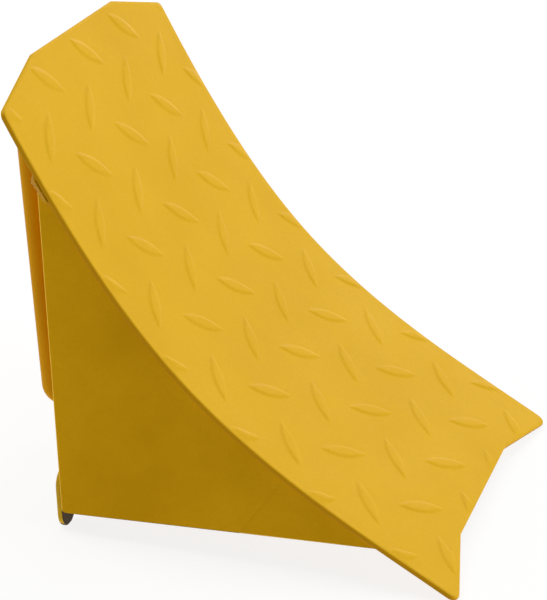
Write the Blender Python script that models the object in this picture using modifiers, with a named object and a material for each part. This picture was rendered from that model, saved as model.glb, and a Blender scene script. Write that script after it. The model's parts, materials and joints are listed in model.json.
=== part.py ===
"""Wheel chock: a rolled floor-plate tread welded to side plates, a rear plate, a D handle and two foot tabs.

Metres, +Z up. +X points from the handle to the toe and +Y to the chock's left. The pieces are laid out
square on a datum empty, whose origin is the foot of the rear plate, and the datum is then set down so that
the chock stands on its toe and feet.
"""

import math

import bmesh
import bpy
import numpy as np
from mathutils import Matrix, Vector

# Stock
PLATE = 0.003175
BAR_DIAMETER = 0.0095
GAP = 0.0003

# Tread, measured on its top face. Stations run along the curve from the top edge to the toe.
TREAD_WIDTH = 0.2286
TREAD_LENGTH = 0.3634
TOP_EDGE = (-0.0199, 0.2400)
TOP_EDGE_SLOPE = math.radians(-64.6)
ROLL_CURVATURE = (0.56, 1.45, 3.14, 1.65, -0.75)
STRIPS = 32
CORNER_CLIP = (0.0162, 0.0574)
TOE_NOTCH = (0.0153, 0.0585)
CORNER_RADIUS = 0.005

# Raised lugs of the floor plate
LUG_LENGTH = 0.0330
LUG_WIDTH = 0.0090
LUG_HEIGHT = 0.0010
LUG_PITCH_ALONG = 0.0512
LUG_PITCH_ACROSS = 0.0555
FIRST_LUG = (0.0408, -0.0846)

# Body under the tread
SIDE_INSET = 0.0046
SEAM_STATION = 0.254
GUSSET_TIP_HEIGHT = 0.0015
SIDE_CORNER_RADIUS = 0.0025
SIDE_FACE = TREAD_WIDTH / 2 - SIDE_INSET
SIDE_INNER_FACE = SIDE_FACE - PLATE

# Handle, on the middle of the rear plate
HANDLE_LOWER_HEIGHT = 0.0172
HANDLE_UPPER_HEIGHT = 0.1746
HANDLE_LOWER_REACH = 0.0508
HANDLE_UPPER_REACH = 0.0545
HANDLE_BEND = 0.0075

# Foot tabs
FOOT_WIDTH = 0.0182
FOOT_TOP = 0.0222
FOOT_BOTTOM = -0.0115
FOOT_FLAT = 0.0050
FOOT_CENTRE = 0.0985

# Weld beads
BEAD = 0.0020
RING_BEAD = 0.0016
STITCH = (0.0510, 0.0700)
INNER_SEAM = (0.0700, 0.3000)
CORNER_BEAD_TOP = 0.1680
BEAD_END = 0.0040

PAINT = (0.745, 0.445, 0.032, 1.0)
WELD_PAINT = (0.640, 0.370, 0.028, 1.0)


def clear_scene():
    for old in list(bpy.data.objects):
        bpy.data.objects.remove(old)


def new_collection(name):
    collection = bpy.data.collections.new(name)
    bpy.context.scene.collection.children.link(collection)
    return collection


def move_to(obj, collection):
    for old in list(obj.users_collection):
        old.objects.unlink(obj)
    collection.objects.link(obj)
    return obj


def paint(obj, colour, roughness):
    material = bpy.data.materials.new(f"{obj.name}_paint")
    material.use_nodes = True
    shader = material.node_tree.nodes["Principled BSDF"]
    shader.inputs["Base Color"].default_value = colour
    shader.inputs["Roughness"].default_value = roughness
    shader.inputs["Metallic"].default_value = 0.0
    obj.data.materials.append(material)


# --- The rolled profile ----------------------------------------------------------------------------

def rolled_profile():
    """Stations along the tread with the place and slope of its top face at each, from its curvature."""
    fine = np.linspace(0, TREAD_LENGTH, 20 * STRIPS + 1)
    knots = np.linspace(0, TREAD_LENGTH, len(ROLL_CURVATURE))
    curvature = np.interp(fine, knots, ROLL_CURVATURE)
    step = fine[1]
    slope = TOP_EDGE_SLOPE + running_sum(curvature, step)
    x = TOP_EDGE[0] + running_sum(np.cos(slope), step)
    z = TOP_EDGE[1] + running_sum(np.sin(slope), step)
    return fine[::20], x[::20], z[::20], slope[::20]


def running_sum(values, step):
    halves = (values[1:] + values[:-1]) / 2 * step
    return np.concatenate([[0], np.cumsum(halves)])


STATIONS, PROFILE_X, PROFILE_Z, PROFILE_SLOPE = rolled_profile()


def on_tread(station, across, height):
    """A point at this height above the top face. The face is flat between two stations, as its strips are."""
    up_x = np.interp(station, STATIONS, -np.sin(PROFILE_SLOPE))
    up_z = np.interp(station, STATIONS, np.cos(PROFILE_SLOPE))
    x = np.interp(station, STATIONS, PROFILE_X) + height * up_x
    z = np.interp(station, STATIONS, PROFILE_Z) + height * up_z
    return Vector((x, across, z))


def station_where(wanted, low, high):
    """The station between low and high where wanted(station) changes from negative to positive."""
    for _ in range(40):
        middle = (low + high) / 2
        if wanted(middle) < 0:
            low = middle
        else:
            high = middle
    return (low + high) / 2


def under_tread(first, last):
    """Points in the XZ plane a gap below the tread's underside, from one station to another."""
    inner = [s for s in STATIONS if first + 1e-4 < s < last - 1e-4]
    points = [on_tread(s, 0, -PLATE - GAP) for s in (first, *inner, last)]
    return [(point.x, point.z) for point in points]


# --- Outlines and curves ---------------------------------------------------------------------------

def arc(centre, radius, start, end, steps):
    """Points round an arc, with its angles in degrees."""
    angles = [math.radians(start + (end - start) * i / steps) for i in range(steps + 1)]
    return [(centre[0] + radius * math.cos(a), centre[1] + radius * math.sin(a)) for a in angles]


def rounded(points, radius, steps=4):
    """A closed outline with each corner replaced by an arc that touches its two edges."""
    outline = []
    for i, corner in enumerate(points):
        here = Vector(corner)
        before = (Vector(points[i - 1]) - here).normalized()
        after = (Vector(points[(i + 1) % len(points)]) - here).normalized()
        half = before.angle(after) / 2
        reach = radius / math.tan(half)
        centre = here + (before + after).normalized() * radius / math.sin(half)
        start = here + before * reach - centre
        sweep = start.angle_signed(here + after * reach - centre)
        for step in range(steps + 1):
            turned = Matrix.Rotation(-sweep * step / steps, 2) @ start
            outline.append(tuple(centre + turned))
    return outline


def flat_plate(name, outline, thickness, collection):
    """A plate cut to a closed outline in its own XY plane, centred on that plane."""
    curve = bpy.data.curves.new(name, "CURVE")
    curve.dimensions = "2D"
    curve.fill_mode = "BOTH"
    curve.extrude = thickness / 2
    spline = curve.splines.new("POLY")
    spline.points.add(len(outline) - 1)
    for point, (x, y) in zip(spline.points, outline):
        point.co = (x, y, 0, 1)
    spline.use_cyclic_u = True
    plate = bpy.data.objects.new(name, curve)
    collection.objects.link(plate)
    return plate


def round_bar(name, path, radius, collection):
    """A round bar or a weld bead along a path, with closed ends."""
    curve = bpy.data.curves.new(name, "CURVE")
    curve.dimensions = "3D"
    curve.bevel_depth = radius
    curve.bevel_resolution = 2
    curve.use_fill_caps = True
    spline = curve.splines.new("POLY")
    spline.points.add(len(path) - 1)
    for point, place in zip(spline.points, path):
        point.co = (*place, 1)
    spline.use_smooth = True
    bar = bpy.data.objects.new(name, curve)
    collection.objects.link(bar)
    return bar


# --- Tread -----------------------------------------------------------------------------------------

def blank_outline():
    """The flat blank of the tread, with stations along X, clipped at its top and notched at its toe."""
    half = TREAD_WIDTH / 2
    clip_along, clip_across = CORNER_CLIP
    notch_depth, prong_width = TOE_NOTCH
    right = [
        (0, -half + clip_across),
        (clip_along, -half),
        (TREAD_LENGTH, -half),
        (TREAD_LENGTH - notch_depth, -half + prong_width),
    ]
    left = [(station, -across) for station, across in reversed(right)]
    return rounded(right + left, CORNER_RADIUS)


def lug_mesh():
    """One lug: an arc turned about its chord, so that both tips come to a point, and pressed flat."""
    half = LUG_LENGTH / 2
    bulge = LUG_WIDTH / 2
    radius = (half**2 + bulge**2) / (2 * bulge)
    reach = math.degrees(math.asin(half / radius))
    profile = arc((0, bulge - radius), radius, 90 - reach, 90 + reach, 6)
    mesh = bpy.data.meshes.new("lug_profile")
    mesh.from_pydata([(x, max(y, 0), 0) for x, y in profile], [(i, i + 1) for i in range(6)], [])
    lug = bpy.data.objects.new("lug", mesh)
    bpy.context.scene.collection.objects.link(lug)
    screw = lug.modifiers.new("turn", "SCREW")
    screw.axis = "X"
    screw.steps = 8
    screw.render_steps = 8
    screw.use_merge_vertices = True
    screw.merge_threshold = 0.00001
    turned = mesh_of(lug)
    turned.transform(Matrix.Diagonal((1, 1, 2 * LUG_HEIGHT / LUG_WIDTH, 1)))
    bpy.data.objects.remove(lug)
    return turned


def mesh_of(obj):
    """The object's mesh once its modifiers or its curve settings are applied."""
    graph = bpy.context.evaluated_depsgraph_get()
    graph.update()
    return bpy.data.meshes.new_from_object(obj.evaluated_get(graph))


def lug_places():
    """Centre and direction of each lug: two lattices, half a pitch apart, that lean opposite ways."""
    lean = math.atan2(LUG_PITCH_ALONG, LUG_PITCH_ACROSS)
    half = TREAD_WIDTH / 2 + LUG_LENGTH / 3
    low = -LUG_LENGTH / 3
    high = TREAD_LENGTH + LUG_LENGTH / 3
    places = []
    for shift, angle in ((0, math.pi / 2 + lean), (0.5, math.pi / 2 - lean)):
        for row in range(-1, 9):
            for column in range(-1, 6):
                station = FIRST_LUG[0] + (row - shift) * LUG_PITCH_ALONG
                across = FIRST_LUG[1] + (column - shift) * LUG_PITCH_ACROSS
                if low < station < high and abs(across) < half:
                    places.append((station, across, angle))
    return places


def lug_field(cutters):
    """Every lug, in one mesh that the tread's blank is joined with."""
    lug = lug_mesh()
    field = bmesh.new()
    for station, across, angle in lug_places():
        copy = lug.copy()
        copy.transform(Matrix.Translation((station, across, 0)) @ Matrix.Rotation(angle, 4, "Z"))
        field.from_mesh(copy)
        bpy.data.meshes.remove(copy)
    bmesh.ops.recalc_face_normals(field, faces=field.faces)
    return cutter_from(field, "lug_field", cutters)


def cutter_from(shape, name, cutters):
    mesh = bpy.data.meshes.new(name)
    shape.to_mesh(mesh)
    shape.free()
    cutter = bpy.data.objects.new(name, mesh)
    cutter.hide_render = True
    cutter.display_type = "WIRE"
    cutters.objects.link(cutter)
    return cutter


def blank_cutter(cutters):
    """A block with the blank's outline, taller than the plate and its lugs."""
    plate = flat_plate("blank_curve", blank_outline(), 8 * PLATE, cutters)
    shape = bmesh.new()
    shape.from_mesh(mesh_of(plate))
    bmesh.ops.remove_doubles(shape, verts=shape.verts, dist=0.00001)
    bpy.data.objects.remove(plate)
    return cutter_from(shape, "tread_blank", cutters)


def roll(mesh):
    """Cuts the flat tread across at each station and bends it to the rolled profile."""
    shape = bmesh.new()
    shape.from_mesh(mesh)
    for station in STATIONS[1:-1]:
        whole = [*shape.verts, *shape.edges, *shape.faces]
        across = {"plane_co": (station, 0, 0), "plane_no": (1, 0, 0)}
        bmesh.ops.bisect_plane(shape, geom=whole, dist=1e-6, **across)
    for vertex in shape.verts:
        vertex.co = on_tread(*vertex.co)
    shape.to_mesh(mesh)
    shape.free()


def make_tread(parts, cutters):
    bpy.ops.mesh.primitive_cube_add(size=1)
    tread = bpy.context.active_object
    tread.name = "tread_plate"
    tread.data.name = "tread_sheet"
    sheet = Matrix.Diagonal((TREAD_LENGTH + LUG_LENGTH, TREAD_WIDTH + LUG_LENGTH, PLATE, 1))
    tread.data.transform(Matrix.Translation((TREAD_LENGTH / 2, 0, -PLATE / 2)) @ sheet)
    for operation, other in (("UNION", lug_field(cutters)), ("INTERSECT", blank_cutter(cutters))):
        boolean = tread.modifiers.new(operation.lower(), "BOOLEAN")
        boolean.operation = operation
        boolean.object = other
        boolean.solver = "EXACT"
    flat = mesh_of(tread)
    tread.modifiers.clear()
    tread.data = flat
    roll(flat)
    return move_to(tread, parts)


# --- Plates under the tread ------------------------------------------------------------------------

def stand_up(plate, across):
    """Turns a plate from its own XY plane into the XZ plane, at this distance from the middle."""
    plate.rotation_euler = (math.pi / 2, 0, 0)
    plate.location = (0, across, 0)


def seam_line(shift):
    """Top and bottom of the seam square to the tread, moved towards the toe by shift."""
    top = on_tread(SEAM_STATION + shift, 0, -PLATE - GAP)
    down = (top - on_tread(SEAM_STATION + shift, 0, 0)).normalized()
    bottom = top + down * (top.z / -down.z)
    return (top.x, top.z), (bottom.x, 0)


def make_side_plate(name, side, parts):
    rear_top = station_where(lambda s: on_tread(s, 0, -PLATE - GAP).x, 0, TREAD_LENGTH / 2)
    _, seam_bottom = seam_line(0)
    corner = arc((SIDE_CORNER_RADIUS, SIDE_CORNER_RADIUS), SIDE_CORNER_RADIUS, 180, 270, 4)
    outline = [*under_tread(rear_top, SEAM_STATION), seam_bottom, *reversed(corner)]
    plate = flat_plate(name, outline, PLATE, parts)
    stand_up(plate, side * (SIDE_FACE - PLATE / 2))
    return plate


def make_toe_gusset(name, side, parts):
    too_low = lambda s: GUSSET_TIP_HEIGHT - on_tread(s, 0, -PLATE - GAP).z
    tip = station_where(too_low, SEAM_STATION, TREAD_LENGTH)
    _, seam_bottom = seam_line(GAP)
    top_edge = under_tread(SEAM_STATION + GAP, tip)
    outline = [*top_edge, (top_edge[-1][0], 0), seam_bottom]
    plate = flat_plate(name, outline, PLATE, parts)
    stand_up(plate, side * (SIDE_FACE - PLATE / 2))
    return plate


def rear_plate_height():
    """Height of the tread's underside where it passes the rear plate's front face, less a gap."""
    front = station_where(lambda s: on_tread(s, 0, -PLATE - GAP).x - PLATE, 0, TREAD_LENGTH / 2)
    return on_tread(front, 0, -PLATE - GAP).z - GAP


def make_rear_plate(parts):
    bpy.ops.mesh.primitive_cube_add(size=1)
    plate = bpy.context.active_object
    plate.name = "rear_plate"
    height = rear_plate_height()
    plate.data.transform(Matrix.Diagonal((PLATE, 2 * (SIDE_INNER_FACE - GAP), height, 1)))
    plate.location = (PLATE / 2, 0, height / 2)
    return move_to(plate, parts)


def make_foot_tab(name, side, parts):
    """An upright tab with round ends on the back of the rear plate, with a small flat to stand on."""
    radius = FOOT_WIDTH / 2
    flat_angle = math.degrees(math.asin(FOOT_FLAT / 2 / radius))
    lower = FOOT_BOTTOM + math.sqrt(radius**2 - (FOOT_FLAT / 2) ** 2)
    upper_arc = arc((0, FOOT_TOP - radius), radius, 0, 180, 12)
    lower_arc = arc((0, lower), radius, 180, 270 - flat_angle, 6)
    lower_arc += arc((0, lower), radius, 270 + flat_angle, 360, 6)
    tab = flat_plate(name, upper_arc + lower_arc, PLATE, parts)
    tab.rotation_euler = (math.pi / 2, 0, math.pi / 2)
    tab.location = (-GAP - PLATE / 2, side * FOOT_CENTRE, 0)
    return tab


# --- Handle ----------------------------------------------------------------------------------------

def make_handle(parts):
    """A bar bent twice, with both ends square on the rear plate."""
    lower = Vector((-HANDLE_LOWER_REACH, HANDLE_LOWER_HEIGHT))
    upper = Vector((-HANDLE_UPPER_REACH, HANDLE_UPPER_HEIGHT))
    lean = math.degrees(math.atan2(HANDLE_UPPER_REACH - HANDLE_LOWER_REACH, upper.y - lower.y))
    turn = HANDLE_BEND
    low_arc = arc(lower + Vector((turn, turn)), turn, 270, 180 + lean, 6)
    high_arc = arc(upper + Vector((turn, -turn)), turn, 180 + lean, 90, 6)
    flat_path = [(-GAP, lower.y), *low_arc, *high_arc, (-GAP, upper.y)]
    return round_bar("rear_handle", [(x, 0, z) for x, z in flat_path], BAR_DIAMETER / 2, parts)


# --- Weld beads ------------------------------------------------------------------------------------

def bead_under_tread(name, first, last, across, parts):
    """A bead a gap under the tread's underside, between two stations."""
    inner = [s for s in STATIONS if first + BEAD < s < last - BEAD]
    path = [on_tread(s, across, -PLATE - GAP - BEAD) for s in (first, *inner, last)]
    return round_bar(name, path, BEAD, parts)


def make_side_welds(hand, side, parts):
    inside = side * (SIDE_INNER_FACE - GAP - BEAD)
    outside = side * (SIDE_FACE + GAP + BEAD)
    beads = [
        bead_under_tread(f"weld_stitch_{hand}", *STITCH, outside, parts),
        bead_under_tread(f"weld_seam_{hand}", *INNER_SEAM, inside, parts),
    ]
    corner_x = PLATE + GAP + BEAD
    corner = [(corner_x, inside, BEAD_END), (corner_x, inside, CORNER_BEAD_TOP)]
    beads.append(round_bar(f"weld_corner_{hand}", corner, BEAD, parts))
    top, bottom = seam_line(GAP / 2)
    along = (Vector(top) - Vector(bottom)).normalized()
    start = Vector(bottom) + along * BEAD_END
    end = Vector(top) - along * 4 * BEAD
    beads.append(round_bar(f"weld_gusset_{hand}", [(x, inside, z) for x, z in (start, end)], BEAD, parts))
    return beads


def make_foot_weld(name, side, parts):
    """A bead over the top of a foot tab and down its inner edge, on the rear plate."""
    radius = FOOT_WIDTH / 2 + GAP + RING_BEAD
    over = arc((0, FOOT_TOP - FOOT_WIDTH / 2), radius, 100, 0, 8)
    flat_path = [*over, (radius, BEAD_END)]
    x = -GAP - RING_BEAD
    path = [(x, side * (FOOT_CENTRE - across), z) for across, z in flat_path]
    return round_bar(name, path, RING_BEAD, parts)


def make_ring_weld(name, height, parts):
    """A ring of weld round an end of the handle."""
    bpy.ops.mesh.primitive_torus_add(
        major_radius=BAR_DIAMETER / 2 + GAP + RING_BEAD,
        minor_radius=RING_BEAD,
        major_segments=24,
        minor_segments=8,
    )
    ring = bpy.context.active_object
    ring.name = name
    ring.rotation_euler = (0, math.pi / 2, 0)
    ring.location = (-GAP - RING_BEAD, 0, height)
    ring.data.shade_smooth()
    return move_to(ring, parts)


def make_rear_top_weld(parts):
    """A bead across the back, in the angle between the rear plate's top edge and the tread."""
    behind = lambda s: on_tread(s, 0, -PLATE - GAP - BEAD).x + BEAD / 4
    middle = on_tread(station_where(behind, 0, TREAD_LENGTH / 2), 0, -PLATE - GAP - BEAD)
    reach = SIDE_INNER_FACE - GAP
    path = [(middle.x, -reach, middle.z), (middle.x, reach, middle.z)]
    return round_bar("weld_rear_top", path, BEAD, parts)


# --- Standing on the ground ------------------------------------------------------------------------

def points_of(pieces):
    found = []
    for piece in pieces:
        mesh = mesh_of(piece)
        found += [piece.matrix_world @ vertex.co for vertex in mesh.vertices]
        bpy.data.meshes.remove(mesh)
    return found


def lowest(points, tilt):
    return min(point.z * math.cos(tilt) + point.x * math.sin(tilt) for point in points)


def set_down(datum, pieces, toe, feet):
    """Tilts the datum until toe and feet stand at one height, and centres the chock over the origin."""
    toe_points = points_of(toe)
    foot_points = points_of(feet)
    tilt = station_where(lambda t: lowest(toe_points, t) - lowest(foot_points, t), 0, math.radians(10))
    datum.rotation_euler = (0, -tilt, 0)
    bpy.context.view_layer.update()
    standing = points_of(pieces)
    low = [min(point[axis] for point in standing) for axis in range(3)]
    high = [max(point[axis] for point in standing) for axis in range(3)]
    datum.location = (-(low[0] + high[0]) / 2, -(low[1] + high[1]) / 2, -low[2])


def main():
    clear_scene()
    parts = new_collection("wheel_chock")
    cutters = new_collection("cutters")
    tread = make_tread(parts, cutters)
    plates = [tread, make_rear_plate(parts), make_handle(parts)]
    feet = []
    welds = [
        make_rear_top_weld(parts),
        make_ring_weld("weld_handle_upper", HANDLE_UPPER_HEIGHT, parts),
        make_ring_weld("weld_handle_lower", HANDLE_LOWER_HEIGHT, parts),
    ]
    for hand, side in (("right", -1), ("left", 1)):
        plates.append(make_side_plate(f"side_plate_{hand}", side, parts))
        plates.append(make_toe_gusset(f"toe_gusset_{hand}", side, parts))
        feet.append(make_foot_tab(f"foot_tab_{hand}", side, parts))
        welds += make_side_welds(hand, side, parts)
        welds.append(make_foot_weld(f"weld_foot_{hand}", side, parts))
    plates += feet
    for piece in plates:
        paint(piece, PAINT, 0.42)
    for piece in welds:
        paint(piece, WELD_PAINT, 0.5)
    datum = bpy.data.objects.new("chock_datum", None)
    parts.objects.link(datum)
    for piece in plates + welds:
        piece.parent = datum
    bpy.context.view_layer.update()
    set_down(datum, plates + welds, [tread], feet)


main()
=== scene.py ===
"""Looks of a yellow wheel chock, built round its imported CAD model.

Metres, in the row frame. The chock's own square frame has its origin at the foot of the rear plate, with +X
to the toe, +Y to the left and +Z up. Pieces are laid out there and moved to the row frame by DATUM.
"""

import json
import math

import bmesh
import bpy
import numpy as np
from mathutils import Matrix, Vector
from mathutils.geometry import delaunay_2d_cdt


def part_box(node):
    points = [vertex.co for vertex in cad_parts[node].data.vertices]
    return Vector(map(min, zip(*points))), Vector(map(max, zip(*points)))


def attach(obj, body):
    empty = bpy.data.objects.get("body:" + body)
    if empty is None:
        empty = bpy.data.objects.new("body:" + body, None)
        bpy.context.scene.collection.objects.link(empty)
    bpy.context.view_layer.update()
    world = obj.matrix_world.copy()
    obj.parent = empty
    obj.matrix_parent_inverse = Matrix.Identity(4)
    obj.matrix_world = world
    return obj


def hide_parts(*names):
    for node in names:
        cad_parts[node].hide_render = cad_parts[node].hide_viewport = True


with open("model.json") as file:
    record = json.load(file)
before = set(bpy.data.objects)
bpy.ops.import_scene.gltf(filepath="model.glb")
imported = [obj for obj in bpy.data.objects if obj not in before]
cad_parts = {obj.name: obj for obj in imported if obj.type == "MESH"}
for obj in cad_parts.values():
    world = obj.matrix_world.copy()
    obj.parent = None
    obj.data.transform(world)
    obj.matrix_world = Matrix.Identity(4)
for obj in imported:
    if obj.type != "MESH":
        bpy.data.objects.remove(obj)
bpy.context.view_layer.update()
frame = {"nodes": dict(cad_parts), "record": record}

# Driving dimensions, as the CAD has them
PLATE = 0.003175
GAP = 0.0003
BAR_DIAMETER = 0.0095
TREAD_WIDTH = 0.2286
TREAD_LENGTH = 0.3634
TOP_EDGE = (-0.0199, 0.2400)
TOP_EDGE_SLOPE = math.radians(-64.6)
ROLL_CURVATURE = (0.56, 1.45, 3.14, 1.65, -0.75)
CORNER_CLIP = (0.0162, 0.0574)
TOE_NOTCH = (0.0153, 0.0585)
CORNER_RADIUS = 0.005
LUG_LENGTH = 0.0330
LUG_WIDTH = 0.0090
LUG_HEIGHT = 0.00075
LUG_PITCH_ALONG = 0.0512
LUG_PITCH_ACROSS = 0.0555
FIRST_LUG = (0.0408, -0.0846)
SIDE_FACE = TREAD_WIDTH / 2 - 0.0046
SIDE_INNER_FACE = SIDE_FACE - PLATE
SEAM_STATION = 0.254
HANDLE_HEIGHTS = (0.0172, 0.1746)
HANDLE_REACHES = (0.0508, 0.0545)
HANDLE_BEND = 0.0075
FOOT_WIDTH = 0.0182
FOOT_TOP = 0.0222
FOOT_CENTRE = 0.0985
STITCH = (0.0510, 0.0700)
INNER_SEAM = (0.0700, 0.3000)
CORNER_BEAD_TOP = 0.1680

# Finish
TREAD_EDGE_ROUND = 0.0012
PLATE_EDGE_ROUND = 0.0009
OUTLINE_STEP = 0.0012
LUG_FLANK_OUT = 0.0006
LUG_FLANK_IN = 0.0020
LUG_CROWN = 0.20
LUG_RINGS = (-0.0009, -0.0005, -0.0001, 0.0003, 0.0008, 0.0013, 0.0019, 0.0027)
LUG_FADE = 0.0045
LUG_SOFTNESS = 3000
GRID_STEP = 0.0045
GRID_TO_LUG = 0.0030
GRID_TO_EDGE = 0.0022
RING_TO_EDGE = 0.0009
SUPPORT_INSET = 0.0006
WELD_TOLERANCE = 1e-6
EDGE_SEGMENTS = 3
SEAM_GAP = 0.00006
BEAD_LEG = 0.0042
STITCH_LEG = 0.0046
RING_LEG = 0.0034
REAR_TOP_STRETCH = 1.9
BEAD_FACE_POINTS = 13
BEAD_CROWN = 0.13
BEAD_WANDER = 0.035
BEAD_WAVES = 14
BEAD_WAVES_SPREAD = 2.6
BEAD_LOWEST = 0.003
RIPPLE = 0.0028
RIPPLE_SWEEP = 0.9
RIPPLE_DEPTH = 0.045
BUTT_BEAD_HALF_WIDTH = 0.0030
BUTT_BEAD_HEIGHT = 0.0024
BUTT_BEAD_END = 0.0010

# Studio
LIGHT_DISTANCE = 3.0
LIGHT_AIM = (0, 0, 0.12)
FLOOR_REACH = 9.0


def datum_matrix():
    """The chock's own square frame in the row frame, from a foot mount's axis and the rear plate's box."""
    mounts = frame["record"]["mounts"]
    down = next(mount["axis"] for mount in mounts if mount["name"] == "floor_foot_right")
    tilt = math.atan2(down[0], -down[2])
    low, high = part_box("rear_plate")
    place = Vector((high.x - PLATE * math.cos(tilt), 0, low.z))
    return Matrix.Translation(place) @ Matrix.Rotation(-tilt, 4, "Y")


DATUM = datum_matrix()


# --- The rolled profile ----------------------------------------------------------------------------

def running_sum(values, step):
    halves = (values[1:] + values[:-1]) / 2 * step
    return np.concatenate([[0], np.cumsum(halves)])


def rolled_profile():
    """Stations along the tread with the place and slope of its top face at each, from its curvature."""
    stations = np.linspace(0, TREAD_LENGTH, 641)
    knots = np.linspace(0, TREAD_LENGTH, len(ROLL_CURVATURE))
    curvature = np.interp(stations, knots, ROLL_CURVATURE)
    slope = TOP_EDGE_SLOPE + running_sum(curvature, stations[1])
    x = TOP_EDGE[0] + running_sum(np.cos(slope), stations[1])
    z = TOP_EDGE[1] + running_sum(np.sin(slope), stations[1])
    return stations, x, z, slope


STATIONS, PROFILE_X, PROFILE_Z, PROFILE_SLOPE = rolled_profile()


def on_tread(station, across, height):
    """Points at this height above the top face, in the chock's own frame, as rows of a table."""
    slope = np.interp(station, STATIONS, PROFILE_SLOPE)
    x = np.interp(station, STATIONS, PROFILE_X) - height * np.sin(slope)
    z = np.interp(station, STATIONS, PROFILE_Z) + height * np.cos(slope)
    return np.stack([x, across + 0 * x, z], axis=-1)


# --- Meshes ----------------------------------------------------------------------------------------

def add_piece(name, mesh, material, nodes):
    """A piece in the row frame that stands for its CAD nodes and moves with the one body."""
    piece = bpy.data.objects.new(name, mesh)
    bpy.context.scene.collection.objects.link(piece)
    mesh.materials.clear()
    mesh.materials.append(material)
    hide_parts(*nodes)
    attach(piece, "root")
    return piece


def mesh_from(name, points, faces):
    """A smooth closed mesh from points in the chock's own frame."""
    mesh = bpy.data.meshes.new(name)
    mesh.from_pydata([DATUM @ Vector(point) for point in points], [], faces)
    shape = bmesh.new()
    shape.from_mesh(mesh)
    bmesh.ops.remove_doubles(shape, verts=shape.verts, dist=WELD_TOLERANCE)
    bmesh.ops.recalc_face_normals(shape, faces=shape.faces)
    shape.to_mesh(mesh)
    shape.free()
    mesh.shade_smooth()
    return mesh


def weigh_normals(piece):
    """Keeps flat faces flat beside their rounded edges."""
    weighted = piece.modifiers.new("flat_faces", "WEIGHTED_NORMAL")
    weighted.weight = 100
    weighted.keep_sharp = True


# --- Tread -----------------------------------------------------------------------------------------

def rounded(points, radius, steps):
    """A closed outline with each corner replaced by an arc that touches its two edges."""
    outline = []
    for i, corner in enumerate(points):
        here = Vector(corner)
        before = (Vector(points[i - 1]) - here).normalized()
        after = (Vector(points[(i + 1) % len(points)]) - here).normalized()
        half = before.angle(after) / 2
        centre = here + (before + after).normalized() * radius / math.sin(half)
        start = here + before * radius / math.tan(half) - centre
        end = here + after * radius / math.tan(half) - centre
        sweep = start.angle_signed(end)
        for step in range(steps + 1):
            outline.append(tuple(centre + Matrix.Rotation(-sweep * step / steps, 2) @ start))
    return outline


def divided(points, longest):
    """A closed outline with its long edges divided."""
    outline = []
    for here, after in zip(points, points[1:] + points[:1]):
        here, after = np.array(here), np.array(after)
        parts = max(1, math.ceil(np.linalg.norm(after - here) / longest))
        outline += [here + (after - here) * i / parts for i in range(parts)]
    return np.array(outline)


def blank_corners():
    """The flat blank of the tread, with stations along X, clipped at its top and notched at its toe."""
    half = TREAD_WIDTH / 2
    clip_along, clip_across = CORNER_CLIP
    notch_depth, prong_width = TOE_NOTCH
    right = [
        (0, -half + clip_across),
        (clip_along, -half),
        (TREAD_LENGTH, -half),
        (TREAD_LENGTH - notch_depth, -half + prong_width),
    ]
    left = [(station, -across) for station, across in reversed(right)]
    return rounded(right + left, CORNER_RADIUS, 8)


BLANK = blank_corners()


def unit(vectors):
    return vectors / np.linalg.norm(vectors, axis=-1, keepdims=True)


def inset(outline, depth):
    """The outline, which runs anticlockwise, moved inwards."""
    before = unit(outline - np.roll(outline, 1, axis=0))
    after = unit(np.roll(outline, -1, axis=0) - outline)
    along = unit(before + after)
    return outline + depth * np.stack([-along[:, 1], along[:, 0]], axis=-1)


def room_inside(points, outline):
    """Each point's distance to the outline, below zero outside it."""
    start, end = outline, np.roll(outline, -1, axis=0)
    span = end - start
    to_point = points[:, None] - start
    share = np.clip((to_point * span).sum(-1) / (span**2).sum(-1), 0, 1)
    distance = np.linalg.norm(to_point - share[..., None] * span, axis=-1).min(axis=1)
    crosses = (start[:, 1] > points[:, 1, None]) != (end[:, 1] > points[:, 1, None])
    lean = span[:, 0] / np.where(span[:, 1] == 0, 1, span[:, 1])
    where = start[:, 0] + (points[:, 1, None] - start[:, 1]) * lean
    inside = (crosses & (points[:, 0, None] < where)).sum(axis=1) % 2 == 1
    return np.where(inside, distance, -distance)


LUG_ARC = ((LUG_LENGTH / 2) ** 2 + (LUG_WIDTH / 2) ** 2) / LUG_WIDTH
LUG_ARC_OFFSET = LUG_ARC - LUG_WIDTH / 2


def lug_places():
    """Centre and direction of each lug: two lattices, half a pitch apart, that lean opposite ways."""
    lean = math.atan2(LUG_PITCH_ALONG, LUG_PITCH_ACROSS)
    half = TREAD_WIDTH / 2 + LUG_LENGTH / 3
    places = []
    for shift, angle in ((0, math.pi / 2 + lean), (0.5, math.pi / 2 - lean)):
        for row in range(-1, 9):
            for column in range(-1, 6):
                station = FIRST_LUG[0] + (row - shift) * LUG_PITCH_ALONG
                across = FIRST_LUG[1] + (column - shift) * LUG_PITCH_ACROSS
                if -LUG_LENGTH / 3 < station < TREAD_LENGTH + LUG_LENGTH / 3 and abs(across) < half:
                    places.append((station, across, angle))
    return places


LUGS = lug_places()


def turned(angle):
    """A matrix that turns rows of points from the blank into a lug's own frame, with its length along X."""
    return np.array([[math.cos(angle), -math.sin(angle)], [math.sin(angle), math.cos(angle)]])


def from_arc_centres(points, lug):
    """Each point's distance to the centres of the two arcs that bound a lug."""
    station, across, angle = lug
    near = (points - (station, across)) @ turned(angle)
    one = np.hypot(near[:, 0], near[:, 1] + LUG_ARC_OFFSET)
    other = np.hypot(near[:, 0], near[:, 1] - LUG_ARC_OFFSET)
    return one, other


def smooth(values):
    """An even rise from 0 to 1."""
    share = np.clip(values, 0, 1)
    return share**2 * (3 - 2 * share)


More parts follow.
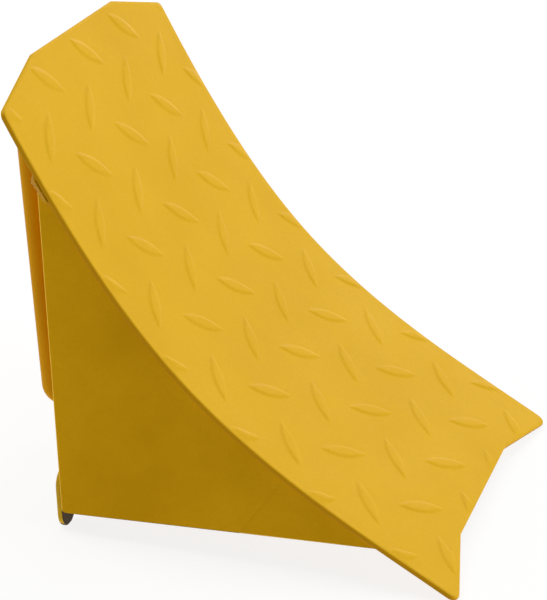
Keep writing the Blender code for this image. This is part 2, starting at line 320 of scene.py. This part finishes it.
def lug_height(points):
    """Height of the lugs at points of the flat blank. Each lug is bounded by two equal arcs, and the sheared
    edge presses it flat."""
    highest = np.zeros(len(points))
    for lug in LUGS:
        one, other = from_arc_centres(points, lug)
        inside_one, inside_other = LUG_ARC - one, LUG_ARC - other
        depth = -np.logaddexp(-LUG_SOFTNESS * inside_one, -LUG_SOFTNESS * inside_other) / LUG_SOFTNESS
        flank = smooth((depth + LUG_FLANK_OUT) / (LUG_FLANK_IN + LUG_FLANK_OUT))
        crown = np.clip(2 * depth / LUG_WIDTH, 0, 1)
        highest = np.maximum(highest, LUG_HEIGHT * flank * (1 - LUG_CROWN + LUG_CROWN * crown))
    return highest * smooth((room_inside(points, np.array(BLANK)) - TREAD_EDGE_ROUND) / LUG_FADE)


def lug_rings():
    """Closed rings of points that follow the contours of every lug, and the spine of each."""
    rings = []
    for station, across, angle in LUGS:
        turn = turned(angle).T
        for depth in LUG_RINGS:
            radius = LUG_ARC - depth
            reach = math.acos(LUG_ARC_OFFSET / radius)
            sweep = reach * np.sin(np.linspace(-math.pi / 2, math.pi / 2, 15))
            upper = np.stack([radius * np.sin(sweep), radius * np.cos(sweep) - LUG_ARC_OFFSET], axis=-1)
            ring = np.concatenate([upper, -upper[1:-1]])
            rings.append((ring @ turn + (station, across), True))
        spine = np.stack([np.linspace(-0.4, 0.4, 13) * LUG_LENGTH, np.zeros(13)], axis=-1)
        rings.append((spine @ turn + (station, across), False))
    return rings


def face_of_blank(boundary, with_lugs):
    """Triangles of the flat blank inside the boundary, with rings round the lugs where they show."""
    steps_along = np.arange(0, TREAD_LENGTH, GRID_STEP)
    steps_across = np.arange(-TREAD_WIDTH / 2, TREAD_WIDTH / 2, GRID_STEP)
    grid = np.stack(np.meshgrid(steps_along, steps_across), axis=-1).reshape(-1, 2)
    points, edges = [*boundary], []
    points += [*inset(boundary, SUPPORT_INSET)]
    if with_lugs:
        rings = lug_rings()
        everything = np.concatenate([ring for ring, _ in rings])
        clear = room_inside(everything, np.array(BLANK)) > TREAD_EDGE_ROUND + RING_TO_EDGE
        taken = 0
        for ring, closed in rings:
            keep = clear[taken:taken + len(ring)]
            taken += len(ring)
            place = len(points) + np.cumsum(keep) - 1
            followers = [*range(1, len(ring)), 0] if closed else range(1, len(ring))
            pairs = zip(range(len(ring)), followers)
            edges += [(int(place[a]), int(place[b])) for a, b in pairs if keep[a] and keep[b]]
            points += [*ring[keep]]
        grid = grid[lug_room(grid) > GRID_TO_LUG]
    grid = grid[room_inside(grid, np.array(BLANK)) > TREAD_EDGE_ROUND + GRID_TO_EDGE]
    points += [*grid]
    border = [list(range(len(boundary)))]
    flat = [Vector(point) for point in points]
    fill_border, closeness = 1, 1e-7
    corners, _, triangles, _, _, _ = delaunay_2d_cdt(flat, edges, border, fill_border, closeness)
    return np.array([tuple(corner) for corner in corners]), triangles


def lug_room(points):
    """Each point's distance outside the nearest lug's outline."""
    nearest = np.full(len(points), 1.0)
    for lug in LUGS:
        nearest = np.minimum(nearest, np.maximum(*from_arc_centres(points, lug)) - LUG_ARC)
    return nearest


def make_tread(material):
    """The rolled floor plate: its lugged top face, its plain underside and the rounded edge between them."""
    outline = divided(BLANK, OUTLINE_STEP)
    turns = np.radians(np.linspace(0, 90, 6))
    rings = [(TREAD_EDGE_ROUND * (1 - math.sin(a)), -TREAD_EDGE_ROUND * (1 - math.cos(a))) for a in turns]
    rings += [(depth, -PLATE - height) for depth, height in reversed(rings)]
    boundary = inset(outline, TREAD_EDGE_ROUND)
    points, faces = [], []

    def add(flat, height, new_faces):
        start = len(points)
        points.extend(on_tread(flat[:, 0], flat[:, 1], height))
        faces.extend([[start + i for i in face] for face in new_faces])

    top, triangles = face_of_blank(boundary, True)
    add(top, lug_height(top), triangles)
    under, triangles = face_of_blank(boundary, False)
    add(under, np.full(len(under), -PLATE), [face[::-1] for face in triangles])
    count = len(outline)
    start = len(points)
    for depth, height in rings:
        add(inset(outline, depth), np.full(count, height), [])
    for level in range(len(rings) - 1):
        low, high = start + level * count, start + (level + 1) * count
        faces.extend([low + i, low + (i + 1) % count, high + (i + 1) % count, high + i] for i in range(count))
    mesh = mesh_from("tread", points, faces)
    return add_piece("tread", mesh, material, ["tread_plate"])


# --- Plates under the tread ------------------------------------------------------------------------

def close_seam(shape):
    """Moves the seam edges of side plate and gusset nearly together, and gives the vertices on the seam."""
    top, bottom = [DATUM @ Vector(point) for point in seam_line()]
    across = (top - bottom).cross(Vector((0, 1, 0))).normalized()
    seam = set()
    for vertex in shape.verts:
        away = (vertex.co - bottom).dot(across)
        if abs(away) < 2 * GAP:
            seam.add(vertex)
            vertex.co -= across * (away - math.copysign(SEAM_GAP, away) if abs(away) > GAP / 2 else 0)
    return seam


def plate_from(node, name, material):
    """The CAD node's own solid with its sharp edges rounded, but for the seam of side plate and gusset."""
    shape = bmesh.new()
    shape.from_mesh(frame["nodes"][node].data)
    bmesh.ops.remove_doubles(shape, verts=shape.verts, dist=WELD_TOLERANCE)
    bmesh.ops.dissolve_limit(shape, angle_limit=math.radians(1), verts=shape.verts, edges=shape.edges)
    seam = close_seam(shape)
    sharp = [edge for edge in shape.edges if edge.calc_face_angle(0) > math.radians(40)]
    sharp = [edge for edge in sharp if not seam.issuperset(edge.verts)]
    bmesh.ops.bevel(
        shape,
        geom=sharp,
        offset=PLATE_EDGE_ROUND,
        offset_type="OFFSET",
        segments=EDGE_SEGMENTS,
        profile=0.5,
        affect="EDGES",
        clamp_overlap=True,
    )
    mesh = bpy.data.meshes.new(name)
    shape.to_mesh(mesh)
    shape.free()
    mesh.shade_smooth()
    piece = add_piece(name, mesh, material, [node])
    weigh_normals(piece)
    return piece


# --- Handle ----------------------------------------------------------------------------------------

def swept(path, across, radius, sides):
    """A round bar along a path in a plane whose normal is across, closed at both ends."""
    path = np.array(path)
    along = unit(np.gradient(path, axis=0))
    side = np.cross(along, across)
    points, faces = [], []
    for place, out in zip(path, side):
        for i in range(sides):
            turn = 2 * math.pi * i / sides
            points.append(place + radius * (math.cos(turn) * out + math.sin(turn) * np.array(across)))
    for level in range(len(path) - 1):
        low, high = level * sides, (level + 1) * sides
        faces += [[low + i, low + (i + 1) % sides, high + (i + 1) % sides, high + i] for i in range(sides)]
    faces.append(list(range(sides)))
    faces.append(list(range(len(points) - sides, len(points))))
    return points, faces


def make_handle(material):
    """A bar bent twice, with both ends square on the rear plate."""
    lower = np.array([-HANDLE_REACHES[0], HANDLE_HEIGHTS[0]])
    upper = np.array([-HANDLE_REACHES[1], HANDLE_HEIGHTS[1]])
    lean = math.atan2(lower[0] - upper[0], upper[1] - lower[1])
    low_centre = lower + HANDLE_BEND
    high_centre = upper + (HANDLE_BEND, -HANDLE_BEND)
    low_turns = np.linspace(-math.pi / 2, -math.pi + lean, 14)
    high_turns = np.linspace(math.pi + lean, math.pi / 2, 14)
    flat = [(-GAP, lower[1]), (-GAP - BAR_DIAMETER, lower[1])]
    flat += [low_centre + HANDLE_BEND * np.array([math.cos(a), math.sin(a)]) for a in low_turns]
    flat += [high_centre + HANDLE_BEND * np.array([math.cos(a), math.sin(a)]) for a in high_turns]
    flat += [(-GAP - BAR_DIAMETER, upper[1]), (-GAP, upper[1])]
    path = [(x, 0, z) for x, z in flat]
    points, faces = swept(path, (0, 1, 0), BAR_DIAMETER / 2, 40)
    mesh = mesh_from("handle", points, faces)
    mesh.set_sharp_from_angle(angle=math.radians(50))
    return add_piece("handle", mesh, material, ["rear_handle"])


# --- Weld beads ------------------------------------------------------------------------------------

def evenly(path, step):
    """A path divided again into nearly equal steps, and the distance along it at each point."""
    path = np.array(path, float)
    lengths = np.concatenate([[0], np.cumsum(np.linalg.norm(np.diff(path, axis=0), axis=1))])
    places = np.linspace(0, lengths[-1], max(4, math.ceil(lengths[-1] / step)))
    return np.stack([np.interp(places, lengths, path[:, i]) for i in range(3)], axis=-1), places


def make_bead(name, nodes, path, first_leg, second_leg, leg, material, closed=False, seed=0, stretch=1.0):
    """A fillet weld in the corner that the path follows. Its legs lie along two directions, each fixed or one
    per point of the path, and its face is crowned and rippled as a torch leaves it. The second leg can be
    stretched."""
    corner, place = evenly(path, RIPPLE / 6)
    lengths = np.linalg.norm(np.diff(np.array(path, float), axis=0), axis=1)
    along = np.concatenate([[0], np.cumsum(lengths)])
    legs = []
    for given in (first_leg, second_leg):
        given = np.broadcast_to(np.array(given, float), (len(path), 3))
        legs.append(unit(np.stack([np.interp(place, along, given[:, i]) for i in range(3)], axis=-1)))
    one, other = legs[0], stretch * legs[1]
    total = place[-1]
    wander = np.random.default_rng(seed).normal(0, 1, 64)
    starts = wander[20:]
    rounds = [2 * math.pi * (i + 1) for i in range(BEAD_WAVES)]
    waves = sum(wander[i] * np.sin(rounds[i] * place / total + starts[i]) for i in range(BEAD_WAVES))
    size = leg * (1 + BEAD_WANDER * waves / BEAD_WAVES_SPREAD)
    if closed:
        size = np.full(len(place), leg)
        ends = np.ones(len(place))
    else:
        from_end = np.minimum(place, total - place) / leg
        ends = np.sqrt(np.clip(1 - np.clip(1 - from_end, 0, 1) ** 2, 0.02, 1))
    across = np.linspace(0, 1, BEAD_FACE_POINTS)
    edge = 4 * across * (1 - across)
    points, faces = [], []
    for k in range(len(place)):
        crescent = place[k] - RIPPLE_SWEEP * RIPPLE * (1 - (2 * across - 1) ** 2)
        phase = (crescent / RIPPLE) % 1
        ripple = RIPPLE_DEPTH * (1 - phase) ** 1.5 - 0.02
        crown = 1 + (BEAD_CROWN + ripple) * edge**0.5
        reach = size[k] * ends[k]
        a = reach * (1 - across)[:, None] * crown[:, None] * one[k]
        b = reach * across[:, None] * crown[:, None] * other[k]
        points.extend(corner[k] + a + b)
        points.append(corner[k] - 0.0001 * (legs[0][k] + legs[1][k]))
    ring = len(across) + 1
    last = len(place) if closed else len(place) - 1
    for k in range(last):
        low, high = k * ring, (k + 1) % len(place) * ring
        faces += [[low + i, low + (i + 1) % ring, high + (i + 1) % ring, high + i] for i in range(ring)]
    if not closed:
        faces.append(list(range(ring)))
        faces.append(list(range(len(points) - ring, len(points))))
    mesh = mesh_from(name, points, faces)
    mesh.set_sharp_from_angle(angle=math.radians(60))
    return add_piece(name, mesh, material, nodes)


def under_tread(first, last, across):
    """A line along the tread's underside and the direction straight away from it."""
    stations = np.linspace(first, last, 40)
    line = on_tread(stations, across, -PLATE)
    slope = np.interp(stations, STATIONS, PROFILE_SLOPE)
    down = np.stack([np.sin(slope), 0 * slope, -np.cos(slope)], axis=-1)
    return line, down


def seam_line():
    """Top and bottom of the seam between a side plate and its gusset."""
    top = on_tread(SEAM_STATION, 0, -PLATE - GAP)
    down = unit(top - on_tread(SEAM_STATION, 0, 0))
    return top, top + down * top[2] / -down[2]


def make_side_welds(hand, side, material):
    inward, outward = (0, -side, 0), (0, side, 0)
    line, down = under_tread(*STITCH, side * SIDE_FACE)
    nodes = [f"weld_stitch_{hand}"]
    make_bead(f"bead_stitch_{hand}", nodes, line, outward, down, STITCH_LEG, material, seed=3)
    line, down = under_tread(*INNER_SEAM, side * SIDE_INNER_FACE)
    make_bead(f"bead_seam_{hand}", [f"weld_seam_{hand}"], line, inward, down, BEAD_LEG, material, seed=5)
    line = [(PLATE, side * SIDE_INNER_FACE, z) for z in (BEAD_LOWEST, CORNER_BEAD_TOP)]
    nodes = [f"weld_corner_{hand}"]
    make_bead(f"bead_corner_{hand}", nodes, line, inward, (1, 0, 0), BEAD_LEG, material, seed=7)
    top, bottom = seam_line()
    up = unit(top - bottom)
    across = np.cross(up, (0, 1, 0))
    middle = np.array([bottom + up * BUTT_BEAD_END, top - up * BUTT_BEAD_END])
    middle[:, 1] = side * (SIDE_INNER_FACE - 0.0012)
    flat_bead(f"bead_gusset_{hand}", [f"weld_gusset_{hand}"], middle, across, inward, material)


def flat_bead(name, nodes, line, across, up, material):
    """A low rippled bead along a butt seam, with the line under its middle."""
    corner, place = evenly(line, RIPPLE / 6)
    spread = np.linspace(-1, 1, BEAD_FACE_POINTS)
    across, up = np.array(across, float), np.array(up, float)
    points, faces = [], []
    for k in range(len(place)):
        from_end = min(place[k], place[-1] - place[k]) / BUTT_BEAD_HALF_WIDTH
        ends = math.sqrt(max(0.02, 1 - max(0, 1 - from_end) ** 2))
        phase = ((place[k] + RIPPLE_SWEEP * RIPPLE * spread**2) / RIPPLE) % 1
        ripple = 0.93 + 0.1 * (1 - phase) ** 1.5
        height = BUTT_BEAD_HEIGHT * ends * np.sqrt(np.clip(1 - spread**2, 0, 1)) * ripple
        reach = BUTT_BEAD_HALF_WIDTH * ends * spread[:, None]
        points.extend(corner[k] + reach * across + height[:, None] * up)
        points.append(corner[k] - 0.0003 * up)
    ring = len(spread) + 1
    for k in range(len(place) - 1):
        low, high = k * ring, (k + 1) * ring
        faces += [[low + i, low + (i + 1) % ring, high + (i + 1) % ring, high + i] for i in range(ring)]
    faces.append(list(range(ring)))
    faces.append(list(range(len(points) - ring, len(points))))
    mesh = mesh_from(name, points, faces)
    mesh.set_sharp_from_angle(angle=math.radians(60))
    return add_piece(name, mesh, material, nodes)


def make_foot_bead(hand, side, material):
    """A bead over the top of a foot tab and down its inner edge, on the rear plate."""
    radius = FOOT_WIDTH / 2
    turns = np.radians(np.linspace(100, 0, 20))
    middle = FOOT_TOP - radius
    ring = [(math.cos(a), math.sin(a)) for a in turns]
    path = [(0, side * (FOOT_CENTRE - radius * c), middle + radius * s) for c, s in ring]
    out = [(0, -side * c, s) for c, s in ring]
    path.append((0, side * (FOOT_CENTRE - radius), BEAD_LOWEST))
    out.append((0, -side, 0))
    make_bead(f"bead_foot_{hand}", [f"weld_foot_{hand}"], path, out, (-1, 0, 0), RING_LEG, material, seed=11)


def make_ring_bead(name, node, height, material):
    """A ring of weld round an end of the handle."""
    turns = np.radians(np.linspace(0, 360, 61))
    ring = [(math.cos(a), math.sin(a)) for a in turns]
    path = [(0, BAR_DIAMETER / 2 * c, height + BAR_DIAMETER / 2 * s) for c, s in ring]
    out = [(0, c, s) for c, s in ring]
    make_bead(name, [node], path, out, (-1, 0, 0), RING_LEG, material, closed=True)


def make_rear_top_bead(material):
    """A bead across the back, in the angle between the rear plate's top edge and the tread."""
    station = np.interp(GAP, on_tread(STATIONS, 0, -PLATE)[:, 0], STATIONS)
    corner = on_tread(station, 0, -PLATE)
    slope = np.interp(station, STATIONS, PROFILE_SLOPE)
    up_tread = (-math.cos(slope), 0, -math.sin(slope))
    line = [(corner[0], side * SIDE_INNER_FACE, corner[2]) for side in (-1, 1)]
    legs = (up_tread, (0, 0, -1), BEAD_LEG)
    make_bead("bead_rear_top", ["weld_rear_top"], line, *legs, material, seed=13, stretch=REAR_TOP_STRETCH)


# --- Materials -------------------------------------------------------------------------------------

class Nodes:
    """A material's node tree, with short calls to add and link nodes."""

    def __init__(self, name):
        self.material = bpy.data.materials.new(name)
        self.material.use_nodes = True
        self.tree = self.material.node_tree
        self.shader = self.tree.nodes["Principled BSDF"]
        self.coordinates = self.add("ShaderNodeTexCoord").outputs["Object"]
        facing = self.add("ShaderNodeNewGeometry").outputs["Normal"]
        self.facing = self.add("ShaderNodeSeparateXYZ", Vector=facing).outputs

    def add(self, kind, **inputs):
        node = self.tree.nodes.new(kind)
        for name, value in inputs.items():
            self.put(node.inputs[name.replace("_", " ")], value)
        return node

    def put(self, socket, value):
        if isinstance(value, bpy.types.NodeSocket):
            self.tree.links.new(value, socket)
        else:
            socket.default_value = value

    def noise(self, size, detail=2.0, roughness=0.5):
        """Noise whose features are about this size in metres, from 0 to 1."""
        node = self.add("ShaderNodeTexNoise", Scale=1 / size, Detail=detail, Roughness=roughness)
        self.tree.links.new(self.coordinates, node.inputs["Vector"])
        return node.outputs["Fac"]

    def spread(self, value, low, high, to_low=0.0, to_high=1.0):
        node = self.add("ShaderNodeMapRange")
        for name, amount in (("Value", value), ("From Min", low), ("From Max", high)):
            self.put(node.inputs[name], amount)
        node.inputs["To Min"].default_value = to_low
        node.inputs["To Max"].default_value = to_high
        return node.outputs["Result"]

    def mix(self, share, first, second):
        node = self.add("ShaderNodeMix")
        node.data_type = "RGBA"
        self.put(node.inputs[0], share)
        self.put(node.inputs[6], first)
        self.put(node.inputs[7], second)
        return node.outputs[2]

    def maths(self, operation, first, second=0.0):
        node = self.add("ShaderNodeMath")
        node.operation = operation
        self.put(node.inputs[0], first)
        self.put(node.inputs[1], second)
        return node.outputs[0]

    def recolour(self, share, colour):
        """Mixes a colour over what the base colour has been so far."""
        base = self.shader.inputs["Base Color"]
        self.put(base, self.mix(share, base.links[0].from_socket, colour))

    def bump(self, height, depth, strength=1.0, under=None):
        node = self.add("ShaderNodeBump", Height=height, Distance=depth, Strength=strength)
        if under is not None:
            self.tree.links.new(under, node.inputs["Normal"])
        return node.outputs["Normal"]


def enamel(name, light, dark, specular, roughness, grain=0.14):
    """Satin enamel: slow changes of tone, fine speckle, uneven gloss and orange peel."""
    nodes = Nodes(name)
    tone = nodes.spread(nodes.noise(0.060, 4, 0.6), 0.35, 0.65)
    colour = nodes.mix(tone, dark, light)
    speckle = nodes.spread(nodes.noise(0.0011, 2), 0.3, 0.7, 0.0, grain)
    colour = nodes.mix(speckle, colour, tuple(c * 0.8 for c in dark[:3]) + (1,))
    gloss = nodes.spread(nodes.noise(0.018, 3, 0.6), 0.3, 0.7, roughness - 0.05, roughness + 0.06)
    waves = nodes.bump(nodes.noise(0.009, 2), 0.00012, 0.6)
    skin = nodes.bump(nodes.noise(0.0016, 2), 0.00006, 0.7, under=waves)
    nodes.put(nodes.shader.inputs["Base Color"], colour)
    nodes.put(nodes.shader.inputs["Roughness"], gloss)
    nodes.put(nodes.shader.inputs["Normal"], skin)
    nodes.shader.inputs["Specular IOR Level"].default_value = specular
    return nodes


def make_materials():
    tread = enamel("tread_enamel", (0.806, 0.465, 0.021, 1), (0.768, 0.436, 0.018, 1), 0.04, 0.50, grain=0.26)
    # Painted shade: the tread's edges that face sideways are darkened, for the shade along them.
    painted_shade_on_side_edge = tread.spread(tread.maths("ABSOLUTE", tread.facing["Y"]), 0.55, 0.95)
    # Painted shade: the tread's faces that turn downwards are darkened, for the shade under it.
    underside = tread.spread(tread.facing["Z"], 0.0, -0.30)
    tread.recolour(painted_shade_on_side_edge, (0.570, 0.275, 0.002, 1))
    tread.recolour(underside, (0.500, 0.240, 0.002, 1))
    # Painted shade: the plates wear a darker, more orange copy of the tread's yellow paint, for the shade the
    # side plates stand in.
    plate = enamel("plate_enamel_painted_shade", (0.722, 0.376, 0.004, 1), (0.632, 0.324, 0.002, 1), 0.02, 0.50, grain=0.24)
    # Painted highlight: pale paint along the rounded edges that turn towards the handle.
    plate.recolour(painted_rim_highlight(plate), (0.960, 0.600, 0.060, 1))
    # Painted shade: the plates' faces that turn downwards, such as the bevels along their bottom edges, are
    # painted dark.
    plate.recolour(plate.spread(plate.facing["Z"], -0.15, -0.60), (0.240, 0.130, 0.004, 1))
    # Painted shade: the handle wears a darker, more orange copy of the yellow paint, for the shade it stands
    # in behind the chock.
    handle = enamel("handle_enamel_painted_shade", (0.710, 0.335, 0.002, 1), (0.660, 0.305, 0.002, 1), 0.04, 0.42)
    # Painted shade: the beads wear a darker copy of the yellow paint, for the shade under the tread's
    # overhang where they sit.
    weld = enamel("weld_enamel_painted_shade", (0.560, 0.275, 0.002, 1), (0.420, 0.200, 0.001, 1), 0.03, 0.45)
    foot = enamel("foot_enamel", (0.760, 0.470, 0.020, 1), (0.560, 0.330, 0.010, 1), 0.10, 0.48)
    # Dark foot bottoms: wear and dirt, with painted shade near the ground and on the faces towards the toe.
    darken_foot_wear_and_shade(foot)
    return {
        "tread": tread.material,
        "plate": plate.material,
        "handle": handle.material,
        "weld": weld.material,
        "foot": foot.material,
    }


def painted_rim_highlight(nodes):
    """Painted highlight: the share of pale paint, full where a rounded edge turns towards the handle, none on
    the flat back.
    """
    back = nodes.maths("MULTIPLY", nodes.facing["X"], -1.0)
    return nodes.maths("MULTIPLY", nodes.spread(back, 0.10, 0.45), nodes.spread(back, 0.99, 0.93))


def darken_foot_wear_and_shade(nodes):
    """Dark dirty steel in a ragged band near the ground, standing partly for wear and dirt and partly for
    painted shade, and painted shade on the low face towards the toe, which lies in shade under the chock.
    """
    height = nodes.add("ShaderNodeSeparateXYZ", Vector=nodes.coordinates).outputs["Z"]
    ragged = nodes.maths("ADD", height, nodes.spread(nodes.noise(0.004, 4, 0.7), 0, 1, -0.003, 0.003))
    low = nodes.spread(height, 0.016, 0.012)
    # Painted shade: the low face that turns towards the toe is painted dark.
    painted_shade_toe_face = nodes.maths("MULTIPLY", nodes.spread(nodes.facing["X"], 0.4, 0.7), low)
    wear_and_painted_shade = nodes.maths("MAXIMUM", nodes.spread(ragged, 0.0045, 0.0020), painted_shade_toe_face)
    gloss = nodes.shader.inputs["Roughness"].links[0].from_socket
    nodes.recolour(wear_and_painted_shade, nodes.mix(nodes.noise(0.003, 3), (0.035, 0.024, 0.012, 1), (0.11, 0.075, 0.030, 1)))
    blend = nodes.add("ShaderNodeMix")
    nodes.put(blend.inputs[0], wear_and_painted_shade)
    nodes.put(blend.inputs[2], gloss)
    nodes.put(blend.inputs[3], 0.62)
    nodes.put(nodes.shader.inputs["Roughness"], blend.outputs[0])


# --- Studio ----------------------------------------------------------------------------------------

def make_floor():
    mesh = bpy.data.meshes.new("floor")
    corners = [(x * FLOOR_REACH, y * FLOOR_REACH, 0) for x, y in ((-1, -1), (1, -1), (1, 1), (-1, 1))]
    mesh.from_pydata(corners, [], [(0, 1, 2, 3)])
    floor = bpy.data.objects.new("floor", mesh)
    bpy.context.scene.collection.objects.link(floor)
    nodes = Nodes("pale_floor")
    nodes.shader.inputs["Base Color"].default_value = (0.16, 0.16, 0.16, 1)
    nodes.shader.inputs["Emission Color"].default_value = (1, 1, 1, 1)
    nodes.shader.inputs["Emission Strength"].default_value = 0.85
    nodes.shader.inputs["Roughness"].default_value = 0.9
    nodes.shader.inputs["Specular IOR Level"].default_value = 0.0
    mesh.materials.append(nodes.material)


def softbox(name, place, aim, size, power):
    light = bpy.data.lights.new(name, "AREA")
    light.shape = "DISK"
    light.size = size
    light.energy = power
    lamp = bpy.data.objects.new(name, light)
    lamp.location = place
    lamp.rotation_mode = "QUATERNION"
    lamp.rotation_quaternion = (Vector(aim) - Vector(place)).to_track_quat("-Z", "Y")
    bpy.context.scene.collection.objects.link(lamp)


def make_lights():
    """Six soft discs round the chock: azimuth 0 is the camera's side, 90 the toe's and 270 the handle's."""
    aim = Vector(LIGHT_AIM)
    discs = (
        ("overhead", 0, 90, 2.4, 25.0),
        ("toe_side_low", 90, 20, 2.0, 49.0),
        ("far_side_low", 175, 20, 2.0, 25.5),
        ("far_side_high", 180, 50, 2.0, 17.5),
        ("handle_side_high", 270, 50, 2.0, 37.5),
        ("handle_side_low", 292, 15, 2.0, 10.0),
    )
    for name, azimuth, elevation, size, power in discs:
        turn, rise = math.radians(azimuth), math.radians(elevation)
        away = Vector((math.sin(turn) * math.cos(rise), -math.cos(turn) * math.cos(rise), math.sin(rise)))
        softbox(name, aim + away * LIGHT_DISTANCE, aim, size, power)
    world = bpy.data.worlds.new("studio")
    world.use_nodes = True
    world.node_tree.nodes["Background"].inputs["Color"].default_value = (1, 1, 1, 1)
    world.node_tree.nodes["Background"].inputs["Strength"].default_value = 0.01
    bpy.context.scene.world = world


def make_camera():
    """A long lens above the chock's right side, turned a little towards its toe."""
    azimuth, elevation, roll = math.radians(17.105), math.radians(22.425), math.radians(1.137)
    aim = Vector((0.01010, -0.00879, 0.10891))
    distance = 1.2536
    back = Vector((
        math.sin(azimuth) * math.cos(elevation),
        -math.cos(azimuth) * math.cos(elevation),
        math.sin(elevation),
    ))
    data = bpy.data.cameras.new("camera")
    data.lens = 136.55
    camera = bpy.data.objects.new("camera", data)
    bpy.context.scene.collection.objects.link(camera)
    level = (-back).to_track_quat("-Z", "Y").to_matrix().to_4x4()
    camera.matrix_world = Matrix.Translation(aim + back * distance) @ level @ Matrix.Rotation(roll, 4, "Z")
    bpy.context.scene.camera = camera


# --- Build -----------------------------------------------------------------------------------------

def build():
    materials = make_materials()
    plate, weld = materials["plate"], materials["weld"]
    make_tread(materials["tread"])
    plate_from("rear_plate", "rear_sheet", plate)
    make_handle(materials["handle"])
    make_rear_top_bead(weld)
    make_ring_bead("bead_handle_lower", "weld_handle_lower", HANDLE_HEIGHTS[0], weld)
    make_ring_bead("bead_handle_upper", "weld_handle_upper", HANDLE_HEIGHTS[1], weld)
    for hand, side in (("right", -1), ("left", 1)):
        plate_from(f"side_plate_{hand}", f"side_{hand}", plate)
        plate_from(f"toe_gusset_{hand}", f"gusset_{hand}", plate)
        plate_from(f"foot_tab_{hand}", f"foot_{hand}", materials["foot"])
        make_side_welds(hand, side, weld)
        make_foot_bead(hand, side, weld)


make_camera()
build()
make_floor()
make_lights()
bpy.context.scene.view_settings.view_transform = "Standard"
